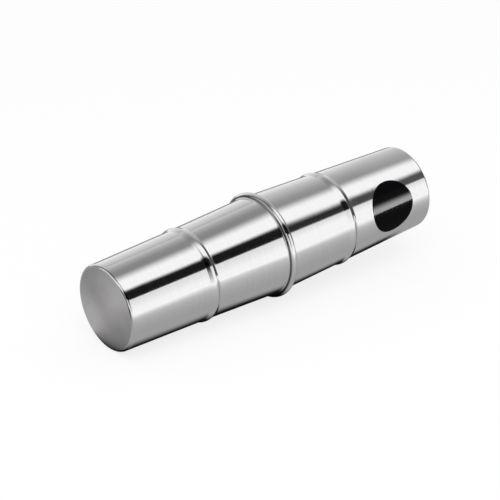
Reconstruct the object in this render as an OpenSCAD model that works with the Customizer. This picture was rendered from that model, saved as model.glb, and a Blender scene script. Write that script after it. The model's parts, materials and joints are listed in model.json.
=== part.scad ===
// Ganza shaker: two tapered aluminium cups joined mouth to mouth by a rolled seam, with loose steel shot inside.
// It lies as it comes to rest on a table: on the seam and on the edge of the near cup's end, long axis over +X.

/* [Near cup] */
// Outer diameter of the near cup at its closed end
near_end_d = 46; // [42:0.5:50]
// Outer diameter of the near cup's wall under its rib
near_rib_d = 49; // [47:0.5:52]
// Depth of the near cup, from its end face to the middle of the seam
near_l = 99; // [85:1:120]
// Distance from the near cup's end face to the middle of its rib
near_rib_x = 51; // [35:1:65]

/* [Far cup] */
// Outer diameter of the far cup at its closed end
far_end_d = 46; // [42:0.5:50]
// Outer diameter of the far cup's wall under its rib
far_rib_d = 50; // [47:0.5:52]
// Depth of the far cup, from its end face to the middle of the seam
far_l = 101; // [90:1:120]
// Distance from the far cup's end face to the middle of its rib
far_rib_x = 57; // [50:1:70]

/* [Sheet metal] */
// Outer diameter of both cups beside the seam
mouth_d = 53; // [52.5:0.5:56]
// Thickness of the aluminium sheet
wall_t = 1; // [0.8:0.1:1.2]
// Outside bend radius at the edge of each closed end
end_edge_r = 1.6; // [1.5:0.1:3]
// Width of the rib pressed into each cup
rib_w = 5.2; // [4:0.2:8]
// Height of each rib above the wall
rib_h = 0.8; // [0.5:0.1:1.5]

/* [Seam] */
// Height of the rolled seam above the walls
seam_h = 2.3; // [2.1:0.1:3]
// Gap between the layers of the rolled seam
seam_gap = 0.05; // [0.03:0.01:0.1]
// Outside bend radius where the near cup's wall turns out into the seam
seam_bend_r = 1.2; // [0.5:0.1:1.5]

/* [Label] */
// Diameter of the round label, measured along the curved wall
label_d = 29; // [20:1:30]
// Thickness of the label
label_t = 0.2; // [0.1:0.05:0.4]
// Film of adhesive between the label and the wall
label_gap = 0.02; // [0.01:0.01:0.05]
// Distance from the far cup's end face to the middle of the label
label_x = 28; // [22:0.5:32]
// Turn of the label about the long axis, away from straight up
label_turn = 77; // [0:1:180]

/* [Shot] */
// Diameter of one steel ball
ball_d = 4.5; // [3.5:0.1:6]
// Gap left between neighbouring balls
ball_gap = 0.15; // [0.1:0.05:0.4]
// Gap left between the shot and the cups
shot_gap = 0.3; // [0.2:0.05:0.6]
// Length of the heap of shot, measured along the shell from the near end
heap_l = 62; // [30:1:90]
// Depth of the heap against the near end, between the centres of its lowest and highest balls
heap_depth = 12; // [5:0.5:16]

/* [Hidden] */

$fn = 96;
// Largest turn of one step along an arc of an outline
arc_step = 9;
// Steps across the outline of a rib, and round the edge of the label
rib_steps = 14;
label_steps = 72;
// The wall's diameters at its end, under its rib and at its mouth, with the rib's place and the depth of the cup
near_wall = [near_end_d, near_rib_d, mouth_d, near_rib_x, near_l];
far_wall = [far_end_d, far_rib_d, mouth_d, far_rib_x, far_l];
total_l = near_l + far_l;

// The far cup's mouth is hemmed flat on itself, and the near cup's mouth is curled over that hem about one centre
mouth_r = mouth_d / 2;
hem_r = wall_t;
curl_in_r = hem_r + seam_gap;
curl_r = curl_in_r + wall_t;
seam_c_r = mouth_r + seam_h - curl_r;
// The curl goes on past the top until its end nearly touches the far cup's wall
tuck_a = 90 + asin((seam_c_r - mouth_r - seam_gap) / curl_r);
// Centre of the bend between the near cup's wall and the curl, which touches both
near_slope = taper(near_wall, 1);
curl_rise = (seam_c_r - mouth_r) * cos(near_slope);
bend_run = sqrt(pow(curl_r + seam_bend_r, 2) - pow(seam_bend_r - curl_rise, 2));
bend_back = bend_run - (seam_c_r - mouth_r) * sin(near_slope);
bend_c = [mouth_r - bend_back * sin(near_slope) + seam_bend_r * cos(near_slope),
          near_l - bend_back * cos(near_slope) - seam_bend_r * sin(near_slope)];
bend_a = atan2(near_l - bend_c[1], seam_c_r - bend_c[0]);

// The shell rests on the seam's curl and on the bend at the near end, whose circles share one tangent
edge_c = edge_centre(near_wall);
rest_run = near_l - end_edge_r;
rest_rise = seam_c_r - edge_c[0];
lie_angle = atan2(rest_rise, rest_run) + asin((curl_r - end_edge_r) / norm([rest_run, rest_rise]));
far_edge_c = edge_centre(far_wall);
lie_z = edge_c[0] * cos(lie_angle) - end_edge_r * sin(lie_angle) + end_edge_r;
lie_x = ((edge_c[0] - far_edge_c[0]) * sin(lie_angle) - total_l * cos(lie_angle)) / 2;

// The shot fills part of a cylinder that passes both ends, so that it can slide from one to the other
shot_r = min(near_end_d, far_end_d) / 2 - wall_t - shot_gap;
ball_pitch = ball_d + ball_gap;
bed_r = shot_r - ball_d / 2;
row_pitch = ball_pitch * cos(30);
first_row = wall_t + shot_gap + ball_d / 2;
row_count = floor((heap_l - ball_d) / row_pitch) + 1;
heap_end = first_row + (row_count - 1) * row_pitch + ball_d / 2;
shot_travel = total_l - wall_t - shot_gap - heap_end;
layer_count = min(3, floor(bed_r / ball_pitch));

// Points of an arc about c = [radius, height], from angle a0 to a1
function arc(c, r, a0, a1) =
    let (n = ceil(abs(a1 - a0) / arc_step))
    [for (i = [0 : n]) c + r * [cos(a0 + (a1 - a0) * i / n), sin(a0 + (a1 - a0) * i / n)]];

function reverse(points) = [for (i = [len(points) - 1 : -1 : 0]) points[i]];

// Angle of a cup's wall to its axis, before the rib (part 0) or after it (part 1)
function taper(wall, part) =
    atan2((wall[part + 1] - wall[part]) / 2, part == 0 ? wall[3] : wall[4] - wall[3]);

// Outer radius of a cup at height z, and the raised cosine that its rib adds
function wall_r(wall, z) = lookup(z, [[0, wall[0]], [wall[3], wall[1]], [wall[4], wall[2]]]) / 2;
function rib_rise(wall, z) =
    abs(z - wall[3]) < rib_w / 2 ? rib_h * (1 + cos(360 * (z - wall[3]) / rib_w)) / 2 : 0;

// Centre of the bend at the edge of the closed end, which touches the end face and the wall
function edge_centre(wall) =
    [wall[0] / 2 + end_edge_r * (tan(taper(wall, 0)) - 1 / cos(taper(wall, 0))), end_edge_r];

// Closed end, bend and ribbed wall of a cup, inset from its outside
function cup_path(wall, inset) = concat(
    [[0, inset]],
    arc(edge_centre(wall), end_edge_r - inset, -90, -taper(wall, 0)),
    [for (i = [0 : rib_steps])
        let (z = wall[3] + rib_w * (i / rib_steps - 1 / 2))
        [wall_r(wall, z) + rib_rise(wall, z) - inset, z]]);

// The near cup stands with its closed end at height 0, and its mouth is curled over the seam
function near_outline() = concat(
    cup_path(near_wall, 0),
    arc(bend_c, seam_bend_r, 180 - near_slope, bend_a),
    arc([seam_c_r, near_l], curl_r, bend_a - 180, tuck_a),
    reverse(arc([seam_c_r, near_l], curl_in_r, -90, tuck_a)),
    [[wall_r(near_wall, near_l - curl_in_r) - wall_t, near_l - curl_in_r]],
    reverse(cup_path(near_wall, wall_t)));

// The far cup, in the same pose, has its mouth hemmed
function far_outline() = concat(
    cup_path(far_wall, 0),
    [[wall_r(far_wall, far_l - hem_r), far_l - hem_r]],
    arc([seam_c_r, far_l], hem_r, -90, 90),
    [[mouth_r - wall_t, far_l + hem_r]],
    reverse(cup_path(far_wall, wall_t)));

// Lays the upright shell down, near end first
module lay() {
    translate([lie_x, 0, lie_z]) rotate([0, 90 - lie_angle, 0]) children();
}

module stand_far_cup() {
    translate([0, 0, total_l]) mirror([0, 0, 1]) children();
}

module near_cup() {
    color("silver") lay() rotate_extrude() polygon(near_outline());
}

module far_cup() {
    color("silver") lay() stand_far_cup() rotate_extrude() polygon(far_outline());
}

// Band of the far cup's wall around the label, raised by a height
module label_band(rise) {
    low = label_x - label_d;
    high = min(label_x + label_d, far_rib_x - rib_w / 2);
    polygon([[0, low], [wall_r(far_wall, low) + rise, low], [wall_r(far_wall, high) + rise, high], [0, high]]);
}

// A flat disc bent round the wall: across the axis, its points lie where their arcs on the wall end
module label_blank() {
    seat_r = wall_r(far_wall, label_x);
    rotate([90, 0, 0]) linear_extrude(mouth_d) polygon([for (i = [0 : label_steps - 1])
        let (a = 360 * i / label_steps, arc_a = label_d / 2 * cos(a) / seat_r * 180 / PI)
        [seat_r * sin(arc_a), label_x + label_d / 2 * sin(a)]]);
}

module label() {
    color("black") lay() stand_far_cup() rotate([0, 0, 90 - label_turn]) mirror([1, 0, 0]) intersection() {
        difference() {
            rotate_extrude() label_band(label_gap + label_t);
            rotate_extrude() label_band(label_gap);
        }
        label_blank();
    }
}

// Balls of one layer of the heap. Rows are staggered, and the heap gets shallower away from the near end
module shot_layer(layer) {
    layer_r = bed_r - layer * ball_pitch;
    turn = 2 * asin(ball_pitch / 2 / layer_r);
    reach = ceil(90 / turn);
    for (row = [0 : row_count - 1], k = [-reach : reach]) {
        a = (k + (row % 2) / 2) * turn;
        depth = heap_depth * (1 - row / row_count);
        if (bed_r - layer_r * cos(a) <= depth)
            translate([layer_r * cos(a), layer_r * sin(a), first_row + row * row_pitch]) sphere(d = ball_d);
    }
}

module shot_bed() {
    color("dimgray") lay() shot_layer(0);
}

module shot_top() {
    color("gray") lay() for (layer = [1 : layer_count - 1]) shot_layer(layer);
}

near_cup();
far_cup();
label();
shot_bed();
shot_top();
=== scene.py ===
"""Ganza shaker: polished aluminium cups, a glossy label and steel shot, on a pale floor in soft light."""
import json
import math

import bpy
import numpy as np
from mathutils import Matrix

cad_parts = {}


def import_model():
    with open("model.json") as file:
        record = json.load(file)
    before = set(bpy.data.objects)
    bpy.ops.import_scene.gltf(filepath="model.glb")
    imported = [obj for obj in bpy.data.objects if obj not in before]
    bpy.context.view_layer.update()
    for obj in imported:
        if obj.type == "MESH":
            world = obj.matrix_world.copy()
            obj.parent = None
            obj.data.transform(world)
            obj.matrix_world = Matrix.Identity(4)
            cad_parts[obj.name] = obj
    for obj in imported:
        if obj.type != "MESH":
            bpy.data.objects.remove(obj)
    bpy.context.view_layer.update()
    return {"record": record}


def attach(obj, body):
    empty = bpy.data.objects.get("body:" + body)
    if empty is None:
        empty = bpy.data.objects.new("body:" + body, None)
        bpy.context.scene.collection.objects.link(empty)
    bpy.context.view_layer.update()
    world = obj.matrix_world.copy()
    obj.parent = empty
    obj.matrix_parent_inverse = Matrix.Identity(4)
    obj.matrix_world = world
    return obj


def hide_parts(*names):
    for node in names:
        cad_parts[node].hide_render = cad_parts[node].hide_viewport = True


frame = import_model()

MM = 0.001

# The shell's line comes from the frame: its two end faces, and the axis that its shot slides along
MOUNTS = {mount["name"]: mount for mount in frame["record"]["mounts"]}
NEAR_FACE = np.array(MOUNTS["near_end_face"]["pos_m"])
FAR_FACE = np.array(MOUNTS["far_end_face"]["pos_m"])
TOTAL_L = np.linalg.norm(FAR_FACE - NEAR_FACE)
AXIS = (FAR_FACE - NEAR_FACE) / TOTAL_L
TILT = math.asin(AXIS[2])
UPRIGHT = np.array([-math.sin(TILT), 0, math.cos(TILT)])

# Cups: outer diameters at the end, under the rib and at the mouth, with the rib's distance from the end and
# the cup's depth. The ribs are a little wider than the solids', with softer feet, and up to 0.7 mm nearer
# the near end
MOUTH_D = 53 * MM
NEAR_L = 99 * MM
NEAR_WALL = dict(end=46 * MM, rib=49 * MM, rib_x=50.6 * MM, depth=NEAR_L)
FAR_WALL = dict(end=46 * MM, rib=50 * MM, rib_x=57.7 * MM, depth=TOTAL_L - NEAR_L)
WALL_T = 1 * MM
END_EDGE_R = 1.6 * MM
RIB_W = 6.6 * MM
RIB_H = 0.8 * MM

# Rolled seam: the near cup's curl closes over the far cup's hem, about the same centre
SEAM_H = 2.3 * MM
SEAM_GAP = 0.05 * MM
SEAM_BEND_R = 1.2 * MM
HEM_R = WALL_T
CURL_IN_R = HEM_R + SEAM_GAP
CURL_R = CURL_IN_R + WALL_T
SEAM_C_R = MOUTH_D / 2 + SEAM_H - CURL_R
TUCK_TURN = 90 + math.degrees(math.asin((SEAM_C_R - MOUTH_D / 2 - SEAM_GAP) / CURL_R))

# Label, with its middle measured from the far end and its turn in degrees from straight up
LABEL_D = 29 * MM
LABEL_T = 0.2 * MM
LABEL_EDGE_R = 0.6 * LABEL_T
LABEL_GAP = 0.02 * MM
LABEL_X = 28 * MM
LABEL_TURN = 77

# Shot: layers of balls that follow the shell, in rows that nest, heaped against the near end
BALL_D = 4.5 * MM
BALL_PITCH = BALL_D + 0.15 * MM
SHOT_GAP = 0.3 * MM
HEAP_L = 62 * MM
HEAP_DEPTH = 12 * MM
BED_LAYERS = [0]
TOP_LAYERS = [1, 2]
BED_R = NEAR_WALL["end"] / 2 - WALL_T - SHOT_GAP - BALL_D / 2
FIRST_ROW = WALL_T + SHOT_GAP + BALL_D / 2
ROW_PITCH = BALL_PITCH * math.cos(math.radians(30))
ROW_COUNT = int((HEAP_L - BALL_D) / ROW_PITCH) + 1

# Fineness of the meshes: steps once round, the largest turn in degrees of a step along an arc, and the rings
# or steps along each stretch of an outline. Edges that turn by more than the sharp turn aren't smoothed
TURNS = 288
ARC_STEP = 4
FACE_RINGS = 13
WALL_RINGS = 8
RIB_STEPS = 40
LABEL_RINGS = 24
LABEL_UNDER_RINGS = 9
LABEL_COLUMNS = 144
BALL_ROWS = 7
BALL_COLUMNS = 12
SHARP_TURN = 50
UV_NAME = "along_and_round"

# Finishes. A scale is a noise's features per metre: across, across and along the shell, or out from its axis.
# A pair for a tint or a roughness is the range that the noise's usual spread becomes, and a depth is a bump's
# height. The grain is how far the spinning lines draw out a highlight
NOISE_SPREAD = (0.3, 0.7)
GRAIN = 0.5

# Polished walls, with stripes, fine lines, slow waves and ripples
WALL_COLOUR = (0.905, 0.905, 0.91)
WALL_STRIPE_SCALE = (8, 8, 700)
WALL_STRIPE_TINT = (0.98, 1.02)
WALL_LINE_SCALE = (40, 40, 2600)
WALL_LINE_DEPTH = 0.0012 * MM
WALL_ROUGHNESS = (0.06, 0.12)
WALL_WAVE_SCALE = (22, 22, 34)
WALL_WAVE_DEPTH = 0.022 * MM
WALL_RIPPLE_SCALE = (120, 120, 90)
WALL_RIPPLE_DEPTH = 0.004 * MM

# Painted shade: darker lines in the wall's colour by the seam and by each rib. For each: the place from the
# near end or past the rib's middle, how dark the painted shade makes it, and how far to each side the line
# starts to fade and has ended
SEAM_FOOT_X = NEAR_L - 2 * MM
SEAM_FOOT_PAINTED_SHADE = 0.3
SEAM_FOOT_SIDE = (0.15 * MM, 0.4 * MM)
RIB_FOOT_X = 1.4 * MM
RIB_FOOT_PAINTED_SHADE = 0.72
RIB_FOOT_SIDE = (0.15 * MM, 0.5 * MM)

# Satin ends, with a painted reflection: two pale wedges of painted highlight and two dull ones of painted
# shade between them.
# One pale wedge lies at a turn in degrees from straight up and one opposite, and all of them fade out between
# two distances from the middle
END_COLOUR = (0.775, 0.757, 0.766)
END_WEDGE_TURN = 48
END_PAINTED_REFLECTION_TINT = (0.74, 1.12)
END_WEDGE_FADE = (1 * MM, 12 * MM)
END_CLOUD_SCALE = (70, 70, 70)
END_CLOUD_TINT = (0.9, 1.08)
END_ZONE_SCALE = 160
END_ROUGHNESS = (0.3, 0.38)
END_RING_SCALE = 5000
END_RING_DEPTH = 0.006 * MM

# Raw inside of the cups
INSIDE_COLOUR = (0.72, 0.72, 0.72, 1)
INSIDE_SCALE = (90, 90, 700)
INSIDE_ROUGHNESS = (0.38, 0.55)

# Label film and steel balls
FILM_COLOUR = (0.003, 0.003, 0.0035, 1)
FILM_ROUGHNESS = 0.1
FILM_SPECULAR = 0.02
FILM_SCALE = (160, 160, 160)
FILM_DEPTH = 0.004 * MM
STEEL_COLOUR = (0.56, 0.56, 0.57, 1)
STEEL_SCALE = (900, 900, 900)
STEEL_ROUGHNESS = (0.14, 0.3)

# Studio: a light tent about the shell, which only its reflections show. A turn is in degrees from straight up
# towards the front, x runs along the tent, and a glow of 1 is white. A side of a grid is its ends and the
# number of steps between them. Steps are for stepped(): what each one adds, with its fades. A pair of turns
# or of places is where a fade starts and where it is full, unless a section says otherwise
TENT_R = 0.9
TENT_X = 1.5
TENT_BACK = -97
TENT_FRONT = 91
TENT_SIDE_TURN = ((TENT_BACK, TENT_FRONT), (376,))
TENT_SIDE_X = ((-TENT_X, 0.4, 0.85, TENT_X), (249, 179, 89))
NEAR_HALF_X = (0.64, 0.5)

# Back cloth: it dims from its foot up to the top, and has paler and duller panels
BACK_LOW = 0.3
BACK_RISE_TURN = (-15, -95)
BACK_RISE_POWER = 1.4
BACK_STEPS = (
    (0.09, ("x", *NEAR_HALF_X), ("turn", -50, -46), ("turn", -33, -43)),
    (-0.06, ("x", *NEAR_HALF_X), ("turn", -54, -52), ("turn", -47, -50)),
    (-0.04, ("x", *NEAR_HALF_X), ("turn", -31, -23)),
    (0.05, ("x", 0.7, 0.74), ("turn", -50, -20)),
)
BACK_FOOT_STEPS = ((-0.1, ("x", 0.7, 0.78), ("turn", -45, -62)),)

# White roof, and the dark flag between it and the front. The flag's upper hem is ragged, with waves of a size
# in degrees, a rate along x and a start, and its lower hem goes through points. Flag top, full and glow, the
# hem's raggedness, the lower hem's softness and the front's rise are pairs for the near and the far half
ROOF_TURN = (-10.5, 12.5)
ROOF_FAR_SHIFT = 4
HEM_WAVES = ((1.3, 41, 0), (1.2, 97, 1))
HEM_RAGGED = (0.5, 1.6)
HEM_STEPS = ((-1, ("x", 0.5, 0.75)), (-1.2, ("x", 0.73, 0.78)))
FLAG_TOP = (30, 28)
FLAG_FULL = (39, 41.5)
FLAG_GLOW = (0.009, 0.022)
FLAG_END_GLOW = 0.065
FLAG_END_X = (0.68, 0.771)
FLAG_LOW_X = (0.49, 0.51, 0.545, 0.65, 0.7, 0.735)
FLAG_LOW_TURN = (58.3, 57.4, 55.3, 56, 57, 55.5)
FLAG_LOW_SOFT = (0.5, 2)
FRONT_LOW = 0.8
FRONT_RISE = (30, 18)

# Dark aisle across the tent, past the near end. Its inner side moves from the first x to the second between
# two turns, and has a fade of its own
AISLE_GLOW = 0.05
AISLE_OUTER_X = (-0.75, -0.7)
AISLE_INNER_X = (-0.22, 0)
AISLE_INNER_TURN = (42, 54)
AISLE_INNER_FADE = 0.07
AISLE_TOP_DEPTH = 0.7
AISLE_STEPS = ((0.3, ("turn", 20, 40)), (-0.4, ("turn", 60, 76)), (-0.4, ("turn", 78, TENT_FRONT)))

# Cloths over the tent's two ends
CLOTH_SIDE_TURN = ((TENT_BACK, TENT_FRONT), (32,))
CLOTH_SIDE_R = ((0, TENT_R), (18,))
NEAR_END_GLOW = 0.05
NEAR_RIM_R = (0.2, 0.6)
NEAR_RIM_TURN = (4, 23, 45, 75, 91)
NEAR_RIM_GLOW = (0.9, 0.57, 0.42, 0.2, 0.7)
FAR_END_GLOW = 0.08
FAR_BACK_GLOW = 0.5
FAR_BACK_TURN = (-8, -40)
FAR_END_X = (1.15, 1.25)

# Grey table under the shell. Off is the distance from the plane of the shell's axis, on either side, and the
# glow at the back falls from the first value to the second
SHEET_Z = 0.2 * MM
TABLE_FRONT = 0.232
TABLE_BACK = 0.9
TABLE_LEFT = -1.5
TABLE_RIGHT = 0.9
TABLE_SIDE_Y = ((-TABLE_FRONT, -0.03, 0.03, TABLE_BACK), (59, 60, 119))
TABLE_SIDE_X = ((TABLE_LEFT, -0.12, 0.12, TABLE_RIGHT), (69, 60, 60))
TABLE_GLOW = 0.36
TABLE_RISE = 0.56
TABLE_RISE_OFF = (0.035, 0.245)
TABLE_STEPS = (
    (0.1, ("off", 0.09, 0.16)),
    (0.08, ("x", 0.05, 0.18), ("off", 0.07, 0.12)),
    (-0.08, ("x", 0, 0.05), ("x", 0.12, 0.07), ("off", 0.09, 0.13)),
)
TABLE_BACK_Y = (0.01, 0.03)
TABLE_BACK_GLOW = (0.44, 0.3)
TABLE_BACK_FALL_Y = (0.05, 0.11)
TABLE_END_X = (-0.28, -0.34)
TABLE_CORNER_X = (-0.11, -0.15)
TABLE_CORNER_Y = (0.02, -0.01)
TABLE_CORNER_LEAN = 1.2

# Shade on the table right under the shell, whose half width has steps along it
SHADE_HALF_W = 22.5 * MM
SHADE_STEPS = ((1.5 * MM, ("x", -0.06, -0.03)), (-3.7 * MM, ("x", -0.005, 0.05)))
SHADE_FADE = 10 * MM
SHADE_NEAR_X = (-0.107, -0.1)
SHADE_FAR_X = (0.105, 0.085)
SHADE_DEPTH = 0.98

# The aisle's strip of floor, which runs from the x's at the tent's foot towards the table
STRIP_SIDE_Y = ((-TENT_R, -TABLE_FRONT), (20,))
STRIP_SIDE_FOOT_X = ((AISLE_OUTER_X[0], AISLE_INNER_X[1]), (75,))
STRIP_Y = (-TABLE_FRONT, -0.7 * TENT_R)

# Clear card for the label's sheen
CARD_Y = -0.225
CARD_FOOT = 0.014
CARD_H = 0.095
CARD_L = 0.5
CARD_SIDE_H = ((0, CARD_H), (24,))
CARD_SIDE_X = ((0, CARD_L), (5,))
CARD_GLOW = 135
CARD_FADE_H = (CARD_H, 0.3 * CARD_H)

# Floor, world, lamp and camera
FLOOR_REACH = 6
FLOOR_COLOUR = (0.93, 0.93, 0.93, 1)
FLOOR_WHITE_SHARE = 0.8
WORLD_SEEN = 1
WORLD_LIGHT = 0.8
LAMP_PLACE = (-0.4, -0.7, 1.3)
LAMP_TARGET = (0, 0, 0.02)
LAMP_SIZE = 1.2
LAMP_POWER = 9
CAMERA_PLACE = (-0.57265, -0.69466, 0.4479)
CAMERA_DOWN = 25.131
CAMERA_TURN = -39.116
CAMERA_LENS = 136.9
CAMERA_SENSOR = 36


def part_way(low, high, value):
    """How far a value has gone from low to high, held between 0 and 1."""
    return np.clip((value - low) / (high - low), 0, 1)


def smooth(low, high, value):
    """0 up to low and 1 from high on, and 3 w^2 - 2 w^3 where the value is part way w between them."""
    way = part_way(low, high, value)
    return way * way * (3 - 2 * way)


def blend(first, second, share):
    """The first value at share 0, the second at share 1, and in proportion between."""
    return first + (second - first) * share


def stepped(steps, **places):
    """Sum of steps: each is a height times its fades. A fade names a place, its start and its full end."""
    total = 0
    for height, *fades in steps:
        for name, start, full in fades:
            height = height * smooth(start, full, places[name])
        total = total + height
    return total


def even(ends, counts):
    """Places in even steps: from each end to the next one, as many steps as that stretch's count."""
    stretches = zip(ends, ends[1:], counts)
    places = [np.linspace(low, high, count, endpoint=False) for low, high, count in stretches]
    return np.concatenate([*places, ends[-1:]])


def grid(rows, columns):
    """Each grid point's place along the rows' side and the columns' side, which are ends and step counts."""
    return np.meshgrid(even(*rows), even(*columns), indexing="ij")


def arc(centre, radius, start, end):
    """Points of an arc: centre + radius * (cos, sin) of a turn in degrees, as (off the axis, height)."""
    steps = max(2, math.ceil(abs(end - start) / ARC_STEP))
    turn = np.radians(np.linspace(start, end, steps + 1))
    return np.stack([centre[0] + radius * np.cos(turn), centre[1] + radius * np.sin(turn)], 1)


def spoke(axis, turn):
    """Unit vectors square to an axis: upright * cos + (axis x upright) * sin of a turn in radians."""
    turn = turn[..., None]
    return UPRIGHT * np.cos(turn) + np.cross(axis, UPRIGHT) * np.sin(turn)


def wall_radius(wall, height):
    """Outer radius of a cup's plain wall: a straight line from the end to the rib, and one to the mouth."""
    heights = [0, wall["rib_x"], wall["depth"]]
    return np.interp(height, heights, [wall["end"] / 2, wall["rib"] / 2, MOUTH_D / 2])


def lean_to_rib(wall):
    """Angle in degrees between the axis and the wall before its rib."""
    return math.degrees(math.atan2((wall["rib"] - wall["end"]) / 2, wall["rib_x"]))


def lean_to_mouth(wall):
    """Angle in degrees between the axis and the wall after its rib."""
    return math.degrees(math.atan2((MOUTH_D - wall["rib"]) / 2, wall["depth"] - wall["rib_x"]))


def cup_path(wall, inset):
    """Closed end, edge bend, wall and rib of a cup, inset from its outside.

    The edge is an arc that touches both the end face and the wall. The rib is one wave of a raised cosine:
    half its height * (1 + cos) of a full turn across its width, on top of the wall."""
    slope = lean_to_rib(wall)
    lean = math.radians(slope)
    edge_r = wall["end"] / 2 + END_EDGE_R * (math.tan(lean) - 1 / math.cos(lean))
    face = np.stack([np.linspace(0, edge_r, FACE_RINGS, endpoint=False), np.full(FACE_RINGS, inset)], 1)
    edge = arc((edge_r, END_EDGE_R), END_EDGE_R - inset, -90, -slope)
    run = np.linspace(2 * END_EDGE_R, wall["rib_x"] - RIB_W / 2, WALL_RINGS, endpoint=False)
    plain = np.stack([wall_radius(wall, run) - inset, run], 1)
    across_share = np.linspace(-1 / 2, 1 / 2, RIB_STEPS + 1)
    wave = RIB_H * (1 + np.cos(2 * np.pi * across_share)) / 2
    height = wall["rib_x"] + RIB_W * across_share
    rib = np.stack([wall_radius(wall, height) + wave - inset, height], 1)
    return np.concatenate([face, edge, plain, rib])


def near_outline():
    """Outside of the near cup from the middle of its end to the lip of its curl, and the way back inside.

    The bend out of the wall touches the wall and the curl: its centre lies one bend radius outside the wall's
    line, and the two radii together away from the curl's centre."""
    slope = lean_to_mouth(NEAR_WALL)
    lean = math.radians(slope)
    rise = SEAM_C_R - MOUTH_D / 2
    run = math.sqrt((CURL_R + SEAM_BEND_R) ** 2 - (SEAM_BEND_R - rise * math.cos(lean)) ** 2)
    back = run - rise * math.sin(lean)
    bend_r = MOUTH_D / 2 - back * math.sin(lean) + SEAM_BEND_R * math.cos(lean)
    bend_x = NEAR_L - back * math.cos(lean) - SEAM_BEND_R * math.sin(lean)
    meet = math.degrees(math.atan2(NEAR_L - bend_x, SEAM_C_R - bend_r))
    seam = (SEAM_C_R, NEAR_L)
    mouth_x = NEAR_L - CURL_IN_R
    outside = [
        cup_path(NEAR_WALL, 0),
        arc((bend_r, bend_x), SEAM_BEND_R, 180 - slope, meet),
        arc(seam, CURL_R, meet - 180, TUCK_TURN),
    ]
    inside = [
        arc(seam, CURL_IN_R, -90, TUCK_TURN)[::-1],
        [[wall_radius(NEAR_WALL, mouth_x) - WALL_T, mouth_x]],
        cup_path(NEAR_WALL, WALL_T)[::-1],
    ]
    return np.concatenate(outside), np.concatenate(inside)


def far_outline():
    """Outside of the far cup from the middle of its end, over the half circle of its hem, and back inside."""
    depth = FAR_WALL["depth"]
    hem_x = depth - HEM_R
    outside = [
        cup_path(FAR_WALL, 0),
        [[wall_radius(FAR_WALL, hem_x), hem_x]],
        arc((SEAM_C_R, depth), HEM_R, -90, 90),
    ]
    inside = [
        [[MOUTH_D / 2 - WALL_T, depth + HEM_R]],
        cup_path(FAR_WALL, WALL_T)[::-1],
    ]
    return np.concatenate(outside), np.concatenate(inside)


def new_object(name, held):
    """An object of the scene that holds a mesh, a lamp or a camera."""
    piece = bpy.data.objects.new(name, held)
    bpy.context.scene.collection.objects.link(piece)
    return piece


def fill_mesh(name, verts, corners, kept, uv, finish):
    """Puts verts and faces of three or four kept corners into a mesh, with a UV for each corner."""
    mesh = bpy.data.meshes.new(name)
    sizes = kept.sum(1)
    mesh.vertices.add(len(verts))
    mesh.vertices.foreach_set("co", verts.astype(np.float32).ravel())
    mesh.loops.add(int(sizes.sum()))
    mesh.loops.foreach_set("vertex_index", corners[kept].astype(np.int32))
    mesh.polygons.add(len(sizes))
    mesh.polygons.foreach_set("loop_start", (np.cumsum(sizes) - sizes).astype(np.int32))
    mesh.polygons.foreach_set("material_index", finish.astype(np.int32))
    mesh.polygons.foreach_set("use_smooth", np.ones(len(sizes), bool))
    layer = mesh.uv_layers.new(name=UV_NAME)
    layer.data.foreach_set("uv", uv[kept].astype(np.float32).ravel())
    mesh.update(calc_edges=True)
    mesh.set_sharp_from_angle(angle=math.radians(SHARP_TURN))
    return mesh


def skin_verts(points):
    """The points of a skin's grid in one list, with a single point for its first row and one for its last."""
    return np.concatenate([points[:1, 0], points[1:-1].reshape(-1, 3), points[-1:, 0]])


def skin_faces(rows, columns):
    """Corners of each face of a skin that closes round its columns: row, column, vert and whether it is kept.

    Face (i, j) has the corners (i, j), (i, j + 1), (i + 1, j + 1) and (i + 1, j), and loses one where the
    skin comes to a point."""
    row, column = np.meshgrid(np.arange(rows - 1), np.arange(columns), indexing="ij")
    corner_row = row.reshape(-1, 1) + np.array([0, 0, 1, 1])
    corner_column = column.reshape(-1, 1) + np.array([0, 1, 1, 0])
    kept = np.ones(corner_row.shape, bool)
    kept[corner_row[:, 0] == 0, 1] = False
    kept[corner_row[:, 2] == rows - 1, 3] = False
    last = 1 + (rows - 2) * columns
    vert = 1 + (corner_row - 1) * columns + corner_column % columns
    vert = np.where(corner_row == 0, 0, np.where(corner_row == rows - 1, last, vert))
    return corner_row, corner_column, vert, kept


def closed_skin(name, points, finish):
    """A closed piece over a grid of points whose first and last rows are single points.

    U runs along the rows in metres, so that a tangent from it follows the outline, and V goes once round."""
    rows, columns = points.shape[:2]
    corner_row, corner_column, vert, kept = skin_faces(rows, columns)
    step = np.linalg.norm(np.diff(points[:, 0], axis=0), axis=1)
    along = np.concatenate([[0], np.cumsum(step)])
    uv = np.stack([along[corner_row], corner_column / columns], 2)
    return new_object(name, fill_mesh(name, skin_verts(points), vert, kept, uv, finish[corner_row[:, 0]]))


def revolved(name, outline, base, axis, finish):
    """An outline of (radius, height) turned about an axis: base + height * axis + radius * spoke."""
    turn = np.linspace(0, 2 * np.pi, TURNS, endpoint=False)
    radius = outline[:, 0, None, None]
    height = outline[:, 1, None, None]
    return closed_skin(name, base + height * axis + radius * spoke(axis, turn), finish)


def cup(name, outlines, base, axis, materials):
    """A cup with its satin end face (finish 0), polished wall (1) and raw inside (2)."""
    outside, inside = outlines
    finish = np.concatenate([np.ones(len(outside)), np.full(len(inside), 2)])
    finish[:FACE_RINGS] = 0
    piece = revolved(name, np.concatenate([outside, inside]), base, axis, finish)
    for material in materials:
        piece.data.materials.append(material)
    return piece


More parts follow.
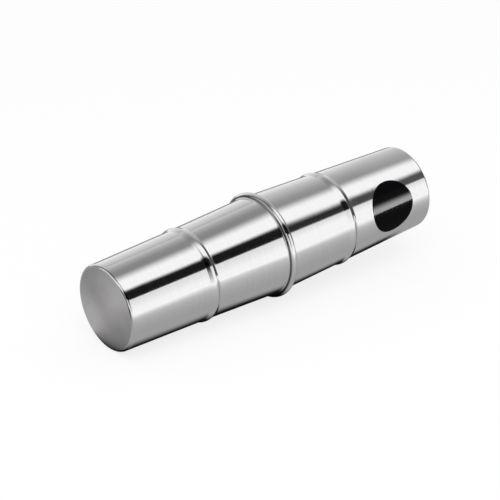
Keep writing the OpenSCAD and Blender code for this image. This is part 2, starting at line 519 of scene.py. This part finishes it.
def label(name, material):
    """A flat disc bent round the far cup's wall, with a rounded edge.

    A point at distance d and turn t from the middle lies d cos(t) along the axis, and d sin(t) round the
    wall."""
    rim_r = LABEL_D / 2 - LABEL_EDGE_R
    rim = arc((rim_r, LABEL_T - LABEL_EDGE_R), LABEL_EDGE_R, 90, 0)
    flat = np.linspace(0, rim_r, LABEL_RINGS, endpoint=False)
    under = np.linspace(LABEL_D / 2, 0, LABEL_UNDER_RINGS)
    reach = np.concatenate([flat, rim[:, 0], under])[:, None]
    rise = np.concatenate([np.full(len(flat), LABEL_T), rim[:, 1], np.zeros(len(under))])[:, None]
    turn = np.linspace(0, 2 * np.pi, LABEL_COLUMNS, endpoint=False)
    from_far = LABEL_X - reach * np.cos(turn)
    radius = wall_radius(FAR_WALL, from_far) + LABEL_GAP + rise
    round_wall = math.radians(LABEL_TURN) + reach * np.sin(turn) / wall_radius(FAR_WALL, LABEL_X)
    points = FAR_FACE - from_far[..., None] * AXIS + radius[..., None] * spoke(AXIS, round_wall)
    piece = closed_skin(name, points, np.zeros(len(reach)))
    piece.data.materials.append(material)
    return piece


def ball_centres(layers):
    """Centres of the balls of some layers: a row's place along the axis, less the layer's radius along the
    spoke of each ball's turn from straight down.

    Every second row is half a ball further round. A row holds the balls that lie within the heap's depth,
    which falls in proportion along the shell."""
    row = np.arange(ROW_COUNT)[:, None]
    found = []
    for layer in layers:
        layer_r = BED_R - layer * BALL_PITCH
        step = 2 * math.degrees(math.asin(BALL_PITCH / 2 / layer_r))
        reach = math.ceil(90 / step)
        turn = np.radians((np.arange(-reach, reach + 1) + (row % 2) / 2) * step)
        held = BED_R - layer_r * np.cos(turn) <= HEAP_DEPTH * (1 - row / ROW_COUNT)
        height = np.broadcast_to(FIRST_ROW + row * ROW_PITCH, turn.shape)
        found.append(NEAR_FACE + height[held][:, None] * AXIS - layer_r * spoke(AXIS, turn[held]))
    return np.concatenate(found)


def shot(name, layers, material):
    """Balls of a few dozen faces each: a centre plus the ball's radius times rows of latitude and columns of
    longitude, which run the way that turns the faces outwards."""
    latitude = np.linspace(0, np.pi, BALL_ROWS)[:, None]
    longitude = np.linspace(0, 2 * np.pi, BALL_COLUMNS, endpoint=False)
    east = np.sin(latitude) * np.cos(longitude)
    north = -np.sin(latitude) * np.sin(longitude)
    up = np.broadcast_to(np.cos(latitude), east.shape)
    unit = skin_verts(np.stack([east, north, up], 2))
    centres = ball_centres(layers)
    count = len(centres)
    verts = (centres[:, None] + BALL_D / 2 * unit).reshape(-1, 3)
    corner_row, corner_column, vert, kept = skin_faces(BALL_ROWS, BALL_COLUMNS)
    corners = vert + len(unit) * np.arange(count)[:, None, None]
    uv = np.stack([corner_row / (BALL_ROWS - 1), corner_column / BALL_COLUMNS], 2)
    all_kept = np.tile(kept, (count, 1))
    all_uv = np.tile(uv, (count, 1, 1))
    mesh = fill_mesh(name, verts, corners.reshape(-1, 4), all_kept, all_uv, np.zeros(len(all_kept)))
    mesh.materials.append(material)
    return new_object(name, mesh)


class Shader:
    """A material's node tree, with short calls for the nodes that the finishes share."""

    def __init__(self, name):
        self.material = bpy.data.materials.new(name)
        self.material.use_nodes = True
        self.nodes = self.material.node_tree.nodes
        self.links = self.material.node_tree.links
        self.nodes.clear()
        self.output = self.nodes.new("ShaderNodeOutputMaterial")

    def node(self, kind, **settings):
        """A new node of a kind, with its settings."""
        node = self.nodes.new(kind)
        for key, value in settings.items():
            setattr(node, key, value)
        return node

    def link(self, source, target):
        """A wire from an output to a socket."""
        self.links.new(source, target)

    def put(self, value, socket):
        """Links a node's output to a socket, or writes a plain value into it."""
        if isinstance(value, bpy.types.NodeSocket):
            self.link(value, socket)
        else:
            socket.default_value = value

    def principled(self, **sockets):
        """The surface's shader, with constants on its own sockets."""
        shader = self.node("ShaderNodeBsdfPrincipled")
        for key, value in sockets.items():
            shader.inputs[key.replace("_", " ")].default_value = value
        self.link(shader.outputs[0], self.output.inputs[0])
        return shader

    def maths(self, operation, *values, **settings):
        """The result of one step of maths on outputs and plain numbers."""
        node = self.node("ShaderNodeMath", operation=operation, **settings)
        for value, socket in zip(values, node.inputs):
            self.put(value, socket)
        return node.outputs[0]

    def shell_coordinates(self, scale):
        """Object coordinates turned so that Z runs along the shell from the near face, then scaled."""
        coordinates = self.node("ShaderNodeTexCoord")
        turned = self.node("ShaderNodeMapping", vector_type="TEXTURE")
        turned.inputs["Location"].default_value = NEAR_FACE
        turned.inputs["Rotation"].default_value = (0, math.pi / 2 - TILT, 0)
        self.link(coordinates.outputs["Object"], turned.inputs["Vector"])
        scaled = self.node("ShaderNodeMapping")
        scaled.inputs["Scale"].default_value = scale
        self.link(turned.outputs[0], scaled.inputs["Vector"])
        return scaled.outputs[0]

    def length(self, vector):
        """How long a vector is."""
        node = self.node("ShaderNodeVectorMath", operation="LENGTH")
        self.link(vector, node.inputs[0])
        return node.outputs["Value"]

    def split(self, vector):
        """A vector's X, Y and Z, as outputs by name."""
        node = self.node("ShaderNodeSeparateXYZ")
        self.link(vector, node.inputs[0])
        return node.outputs

    def noise(self, scale, detail=2):
        """Noise over the shell, its features 1 / scale metres long."""
        noise = self.node("ShaderNodeTexNoise")
        noise.inputs["Scale"].default_value = 1
        noise.inputs["Detail"].default_value = detail
        self.link(self.shell_coordinates(scale), noise.inputs["Vector"])
        return noise.outputs[0]

    def ring_noise(self, scale, detail=2):
        """Noise that depends only on the distance from the shell's axis, as turning marks do."""
        noise = self.node("ShaderNodeTexNoise", noise_dimensions="1D")
        noise.inputs["Scale"].default_value = 1
        noise.inputs["Detail"].default_value = detail
        self.link(self.length(self.shell_coordinates((scale, scale, 0))), noise.inputs["W"])
        return noise.outputs[0]

    def ranged(self, value, low, high, spread=NOISE_SPREAD):
        """Maps a value from its spread, which is a noise's usual one, to low..high."""
        ranged = self.node("ShaderNodeMapRange")
        ends = {"From Min": spread[0], "From Max": spread[1], "To Min": low, "To Max": high}
        for name, end in ends.items():
            ranged.inputs[name].default_value = end
        self.link(value, ranged.inputs["Value"])
        return ranged.outputs[0]

    def bow_tie(self, turn, fade):
        """Cosine of twice the angle round the shell's axis, from a turn in degrees away from straight up.

        It fades to nothing at the axis, between two distances from it."""
        across = self.shell_coordinates((1, 1, 0))
        sides = self.split(across)
        angle = self.maths("ARCTAN2", sides["Y"], sides["X"])
        cosine = self.maths("COSINE", self.maths("MULTIPLY_ADD", angle, 2, -2 * math.radians(turn)))
        return self.maths("MULTIPLY", cosine, self.ranged(self.length(across), 0, 1, fade))

    def off_ring(self, place):
        """Distance along the shell from a ring at a place, in metres."""
        along = self.split(self.shell_coordinates((0, 0, 1)))["Z"]
        return self.maths("ABSOLUTE", self.maths("SUBTRACT", along, place))

    def tinted(self, shader, colour, *factors):
        """Base colour scaled by factors that vary over the piece."""
        tint = colour
        for factor in factors:
            scaled = self.node("ShaderNodeVectorMath", operation="SCALE")
            self.put(tint, scaled.inputs[0])
            self.link(factor, scaled.inputs["Scale"])
            tint = scaled.outputs[0]
        self.link(tint, shader.inputs["Base Color"])

    def bump(self, height, depth, under=None):
        """A bump whose noise is depth metres high, on top of another."""
        bump = self.node("ShaderNodeBump")
        bump.inputs["Strength"].default_value = 1
        bump.inputs["Distance"].default_value = depth
        self.link(height, bump.inputs["Height"])
        if under is not None:
            self.link(under, bump.inputs["Normal"])
        return bump.outputs[0]

    def tangent_along(self, shader):
        """The grain's highlight spreads along the outline, square to the spinning lines."""
        tangent = self.node("ShaderNodeTangent", direction_type="UV_MAP", uv_map=UV_NAME)
        self.link(tangent.outputs[0], shader.inputs["Tangent"])


def polished_wall():
    """Spun and polished sheet: near a mirror, with fine lines round it, slight waves, and painted shade in
    lines at the seam's foot and on the ribs.
    """
    finish = Shader("polished_aluminium")
    shader = finish.principled(Metallic=1, Anisotropic=GRAIN)
    # Painted shade: the base colour darkens in a line at the seam's foot and in one on each rib.
    painted_shade_lines = [finish.ranged(finish.off_ring(SEAM_FOOT_X), SEAM_FOOT_PAINTED_SHADE, 1, SEAM_FOOT_SIDE)]
    for rib_x in (NEAR_WALL["rib_x"], TOTAL_L - FAR_WALL["rib_x"]):
        painted_shade_lines.append(finish.ranged(finish.off_ring(rib_x + RIB_FOOT_X), RIB_FOOT_PAINTED_SHADE, 1, RIB_FOOT_SIDE))
    stripes = finish.ranged(finish.noise(WALL_STRIPE_SCALE, detail=3), *WALL_STRIPE_TINT)
    finish.tinted(shader, WALL_COLOUR, stripes, *painted_shade_lines)
    finish.tangent_along(shader)
    lines = finish.noise(WALL_LINE_SCALE, detail=3)
    finish.link(finish.ranged(lines, *WALL_ROUGHNESS), shader.inputs["Roughness"])
    waves = finish.bump(finish.noise(WALL_WAVE_SCALE, detail=1), WALL_WAVE_DEPTH)
    ripples = finish.bump(finish.noise(WALL_RIPPLE_SCALE), WALL_RIPPLE_DEPTH, waves)
    finish.link(finish.bump(lines, WALL_LINE_DEPTH, ripples), shader.inputs["Normal"])
    return finish.material


def satin_end():
    """Turned end face: fine rings about its middle, and a turned face's bow-tie reflection painted into its
    colour as pale and dull wedges.
    """
    finish = Shader("satin_aluminium")
    shader = finish.principled(Metallic=1, Anisotropic=GRAIN)
    finish.tangent_along(shader)
    # Painted reflection: pale wedges of painted highlight and dull ones of painted shade in the base colour.
    painted_reflection_wedges = finish.ranged(finish.bow_tie(END_WEDGE_TURN, END_WEDGE_FADE), *END_PAINTED_REFLECTION_TINT, (-1, 1))
    clouds = finish.ranged(finish.noise(END_CLOUD_SCALE, detail=3), *END_CLOUD_TINT)
    finish.tinted(shader, END_COLOUR, painted_reflection_wedges, clouds)
    rings = finish.ring_noise(END_RING_SCALE, detail=3)
    zones = finish.ring_noise(END_ZONE_SCALE)
    finish.link(finish.ranged(zones, *END_ROUGHNESS), shader.inputs["Roughness"])
    finish.link(finish.bump(rings, END_RING_DEPTH), shader.inputs["Normal"])
    return finish.material


def raw_inside():
    """Drawn sheet as it comes off the press: dull, and a little uneven along the cup."""
    finish = Shader("raw_aluminium")
    shader = finish.principled(Base_Color=INSIDE_COLOUR, Metallic=1)
    finish.link(finish.ranged(finish.noise(INSIDE_SCALE), *INSIDE_ROUGHNESS), shader.inputs["Roughness"])
    return finish.material


def label_film():
    """Deep black film, smooth and a little uneven from its adhesive, that mirrors only strong light."""
    finish = Shader("label_black")
    shader = finish.principled(
        Base_Color=FILM_COLOUR,
        Roughness=FILM_ROUGHNESS,
        Specular_IOR_Level=FILM_SPECULAR,
    )
    finish.link(finish.bump(finish.noise(FILM_SCALE), FILM_DEPTH), shader.inputs["Normal"])
    return finish.material


def steel_shot():
    """Bright steel balls, with a polish that differs a little over each one."""
    finish = Shader("steel_shot")
    shader = finish.principled(Base_Color=STEEL_COLOUR, Metallic=1)
    finish.link(finish.ranged(finish.noise(STEEL_SCALE), *STEEL_ROUGHNESS), shader.inputs["Roughness"])
    return finish.material


def glowing_sheet(name, points, glow, clear=False):
    """An open sheet over a grid of points, lit by itself, that shows only in reflections.

    A clear one also lets what is behind it show through."""
    rows, columns = points.shape[:2]
    corner = np.arange(rows * columns).reshape(rows, columns)
    faces = np.stack([corner[:-1, :-1], corner[1:, :-1], corner[1:, 1:], corner[:-1, 1:]], 2).reshape(-1, 4)
    mesh = bpy.data.meshes.new(name)
    mesh.from_pydata(points.reshape(-1, 3).tolist(), [], faces.tolist())
    mesh.attributes.new("glow", "FLOAT", "POINT").data.foreach_set("value", glow.astype(np.float32).ravel())
    light = Shader(name)
    attribute = light.node("ShaderNodeAttribute", attribute_name="glow")
    emission = light.node("ShaderNodeEmission")
    light.link(attribute.outputs["Fac"], emission.inputs["Strength"])
    surface = emission.outputs[0]
    if clear:
        added = light.node("ShaderNodeAddShader")
        light.link(surface, added.inputs[0])
        light.link(light.node("ShaderNodeBsdfTransparent").outputs[0], added.inputs[1])
        surface = added.outputs[0]
    light.link(surface, light.output.inputs[0])
    mesh.materials.append(light.material)
    piece = new_object(name, mesh)
    piece.visible_camera = piece.visible_diffuse = piece.visible_shadow = piece.visible_transmission = False
    return piece


def back_glow(turn, x):
    """Brightness of the back cloth: a power of the way to its foot, plus its panels, times its dull foot."""
    glow = blend(BACK_LOW, 1, part_way(*BACK_RISE_TURN, turn) ** BACK_RISE_POWER)
    glow = glow + stepped(BACK_STEPS, turn=turn, x=x)
    return glow * (1 + stepped(BACK_FOOT_STEPS, turn=turn, x=x))


def in_aisle(turn, x):
    """How far a place is in the aisle's dark: between its two sides, deepest at middling turns.

    Its inner side moves in as the turn passes the camera's."""
    inner = blend(*AISLE_INNER_X, smooth(*AISLE_INNER_TURN, turn))
    between = smooth(*AISLE_OUTER_X, x) * smooth(inner, inner - AISLE_INNER_FADE, x)
    return between * (AISLE_TOP_DEPTH + stepped(AISLE_STEPS, turn=turn))


def near_end_glow(turn, radius):
    """Brightness of the cloth over the near end: dark about its middle, with a rim that differs by turn."""
    rim = np.interp(turn, NEAR_RIM_TURN, NEAR_RIM_GLOW)
    return blend(NEAR_END_GLOW, rim, smooth(*NEAR_RIM_R, radius))


def far_end_glow(turn):
    """Brightness of the cloth over the far end: dark in front, and pale towards the back."""
    return blend(FAR_END_GLOW, FAR_BACK_GLOW, smooth(*FAR_BACK_TURN, turn))


def tent_glow(turn, x):
    """Brightness of the tent at a turn and at a place along it.

    Each part is blended over the ones before: the back, the white roof, the dark flag under its ragged hem,
    and the front, which brightens downwards. The aisle darkens what it crosses, and the far end is last."""
    far = 1 - smooth(*NEAR_HALF_X, x)
    glow = blend(back_glow(turn, x), 1, smooth(*ROOF_TURN, turn + ROOF_FAR_SHIFT * far))
    waves = sum(size * np.sin(rate * x + start) for size, rate, start in HEM_WAVES)
    under_hem = turn - blend(*HEM_RAGGED, far) * waves - stepped(HEM_STEPS, x=x)
    dark = blend(*FLAG_GLOW, far) + FLAG_END_GLOW * part_way(*FLAG_END_X, x)
    glow = blend(glow, dark, smooth(blend(*FLAG_TOP, far), blend(*FLAG_FULL, far), under_hem))
    under_flag = turn - np.interp(x, FLAG_LOW_X, FLAG_LOW_TURN)
    front = blend(FRONT_LOW, 1, smooth(0, blend(*FRONT_RISE, far), under_flag))
    soft = blend(*FLAG_LOW_SOFT, far)
    glow = blend(glow, front, smooth(-soft, soft, under_flag))
    glow = glow * (1 - (1 - AISLE_GLOW) * in_aisle(turn, x))
    return blend(glow, far_end_glow(turn), smooth(*FAR_END_X, x))


def around_tent(turn, radius, x):
    """Point of the tent: x along it, and radius * (-sin, cos) of the turn from its axis, as (y, z)."""
    angle = np.radians(turn)
    return np.stack([x, -radius * np.sin(angle), radius * np.cos(angle) + NEAR_FACE[2]], 2)


def tent():
    """The tent's round wall and the cloths over its two ends."""
    turn, x = grid(TENT_SIDE_TURN, TENT_SIDE_X)
    glowing_sheet("light_tent", around_tent(turn, TENT_R, x), tent_glow(turn, x))
    turn, radius = grid(CLOTH_SIDE_TURN, CLOTH_SIDE_R)
    near_cloth = around_tent(turn, radius, np.full_like(turn, -TENT_X))
    glowing_sheet("near_end_cloth", near_cloth, near_end_glow(turn, radius))
    far_cloth = around_tent(turn, radius, np.full_like(turn, TENT_X))
    glowing_sheet("far_end_cloth", far_cloth, far_end_glow(turn))


def grey_table():
    """A flat grey table: lighter towards its front edge, duller behind, and with the shell's shadow painted
    dark under it.

    It is dark past the shell's near end too, where a dark corner in front comes nearer the shell, with an
    edge that leans further out the further it is from the axis."""
    y, x = grid(TABLE_SIDE_Y, TABLE_SIDE_X)
    off = np.abs(y)
    glow = TABLE_GLOW + TABLE_RISE * part_way(*TABLE_RISE_OFF, off) + stepped(TABLE_STEPS, x=x, off=off)
    behind = blend(*TABLE_BACK_GLOW, smooth(*TABLE_BACK_FALL_Y, y))
    glow = blend(glow, behind, smooth(*TABLE_BACK_Y, y))
    # Painted shadow: the table's glow falls to near black in a strip right under the shell.
    half = SHADE_HALF_W + stepped(SHADE_STEPS, x=x)
    shade = smooth(half, half - SHADE_FADE, off) * smooth(*SHADE_NEAR_X, x) * smooth(*SHADE_FAR_X, x)
    glow = glow * (1 - SHADE_DEPTH * shade)
    corner = smooth(*TABLE_CORNER_X, x + TABLE_CORNER_LEAN * off) * smooth(*TABLE_CORNER_Y, y)
    glow = blend(glow, NEAR_END_GLOW, np.maximum(smooth(*TABLE_END_X, x), corner))
    glowing_sheet("grey_table", np.stack([x, y, np.full_like(x, SHEET_Z)], 2), glow)


def floor_aisle():
    """The dark aisle's strip of floor: its x shrinks in proportion to y from the tent's foot on."""
    y, foot_x = grid(STRIP_SIDE_Y, STRIP_SIDE_FOOT_X)
    points = np.stack([foot_x * -y / TENT_R, y, np.full_like(y, SHEET_Z)], 2)
    strength = in_aisle(TENT_FRONT, foot_x) * smooth(*STRIP_Y, y)
    glowing_sheet("floor_aisle", points, 1 - (1 - AISLE_GLOW) * strength)


def label_card(lit):
    """A clear standing card that lights only the label, most along its foot, for the sheen of glossy film."""
    height, x = grid(CARD_SIDE_H, CARD_SIDE_X)
    points = np.stack([x, np.full_like(x, CARD_Y), CARD_FOOT + height], 2)
    card = glowing_sheet("label_card", points, CARD_GLOW * smooth(*CARD_FADE_H, height), clear=True)
    only = bpy.data.collections.new("label_card_lights")
    only.objects.link(lit)
    card.light_linking.receiver_collection = only


def seen_straight(shader):
    """1 for the rays that see the background: those from the camera, and those off metal or through glass."""
    path = shader.node("ShaderNodeLightPath")
    total = path.outputs["Is Camera Ray"]
    for name in ("Is Glossy Ray", "Is Transmission Ray"):
        total = shader.maths("ADD", total, path.outputs[name], use_clamp=True)
    return total


def floor():
    """A square floor that is nearly white to the rays that see it, and still takes the shell's shadow."""
    corners = [(-1, -1, 0), (1, -1, 0), (1, 1, 0), (-1, 1, 0)]
    mesh = bpy.data.meshes.new("floor")
    mesh.from_pydata((FLOOR_REACH * np.array(corners)).tolist(), [], [(0, 1, 2, 3)])
    shader = Shader("floor")
    plain = shader.node("ShaderNodeBsdfDiffuse")
    plain.inputs["Color"].default_value = FLOOR_COLOUR
    white = shader.node("ShaderNodeEmission")
    white.inputs["Strength"].default_value = 1
    mix = shader.node("ShaderNodeMixShader")
    shader.link(shader.maths("MULTIPLY", seen_straight(shader), FLOOR_WHITE_SHARE), mix.inputs[0])
    shader.link(plain.outputs[0], mix.inputs[1])
    shader.link(white.outputs[0], mix.inputs[2])
    shader.link(mix.outputs[0], shader.output.inputs[0])
    mesh.materials.append(shader.material)
    new_object("floor", mesh)


def world():
    """White to the eye and in the metal, and a little softer where it lights a surface."""
    scene_world = bpy.data.worlds.new("studio")
    bpy.context.scene.world = scene_world
    scene_world.use_nodes = True
    nodes = scene_world.node_tree.nodes
    links = scene_world.node_tree.links
    background = next(node for node in nodes if node.type == "BACKGROUND")
    path = nodes.new("ShaderNodeLightPath")
    strength = nodes.new("ShaderNodeMapRange")
    strength.inputs["To Min"].default_value = WORLD_SEEN
    strength.inputs["To Max"].default_value = WORLD_LIGHT
    links.new(path.outputs["Is Diffuse Ray"], strength.inputs["Value"])
    background.inputs["Color"].default_value = (1, 1, 1, 1)
    links.new(strength.outputs[0], background.inputs["Strength"])


def look_at(place, target):
    """Turn of a lamp at a place that faces a target: tipped back from straight down, then turned about Z."""
    from_target = np.array(place) - np.array(target)
    flat = math.hypot(from_target[0], from_target[1])
    return (math.atan2(flat, from_target[2]), 0, math.atan2(from_target[0], -from_target[1]))


def key_lamp():
    """A square lamp that faces the shell and doesn't show as a highlight."""
    lamp = bpy.data.lights.new("key_lamp", "AREA")
    lamp.size = LAMP_SIZE
    lamp.energy = LAMP_POWER
    holder = new_object("key_lamp", lamp)
    holder.location = LAMP_PLACE
    holder.rotation_euler = look_at(LAMP_PLACE, LAMP_TARGET)
    holder.visible_glossy = False


def camera():
    """The photograph's view: about 25 degrees down, from the near end's side, with a long lens."""
    lens = bpy.data.cameras.new("photo_camera")
    lens.sensor_width = CAMERA_SENSOR
    lens.lens = CAMERA_LENS
    holder = new_object("photo_camera", lens)
    holder.location = CAMERA_PLACE
    holder.rotation_euler = (math.radians(90 - CAMERA_DOWN), 0, math.radians(CAMERA_TURN))
    bpy.context.scene.camera = holder


def dress():
    """Makes every piece, says what carries it, which node it replaces and its slot, and returns the label."""
    finishes = [satin_end(), polished_wall(), raw_inside()]
    steel = steel_shot()
    near_cup = cup("near_cup_skin", near_outline(), NEAR_FACE, AXIS, finishes)
    far_cup = cup("far_cup_skin", far_outline(), FAR_FACE, -AXIS, finishes)
    film = label("label_film", label_film())
    bed = shot("shot_bed_balls", BED_LAYERS, steel)
    top = shot("shot_top_balls", TOP_LAYERS, steel)
    pieces = [
        (near_cup, "shell", "near_cup", "polished_aluminium"),
        (far_cup, "shell", "far_cup", "polished_aluminium"),
        (film, "shell", "label", "label_black"),
        (bed, "shot_bed", "shot_bed", "steel_shot"),
        (top, "shot_top", "shot_top", "steel_shot"),
    ]
    for piece, body, node, slot in pieces:
        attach(piece, body)
        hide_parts(node)
    return film


label_piece = dress()
floor()
world()
tent()
grey_table()
floor_aisle()
label_card(label_piece)
key_lamp()
camera()
bpy.context.scene.view_settings.view_transform = "Standard"
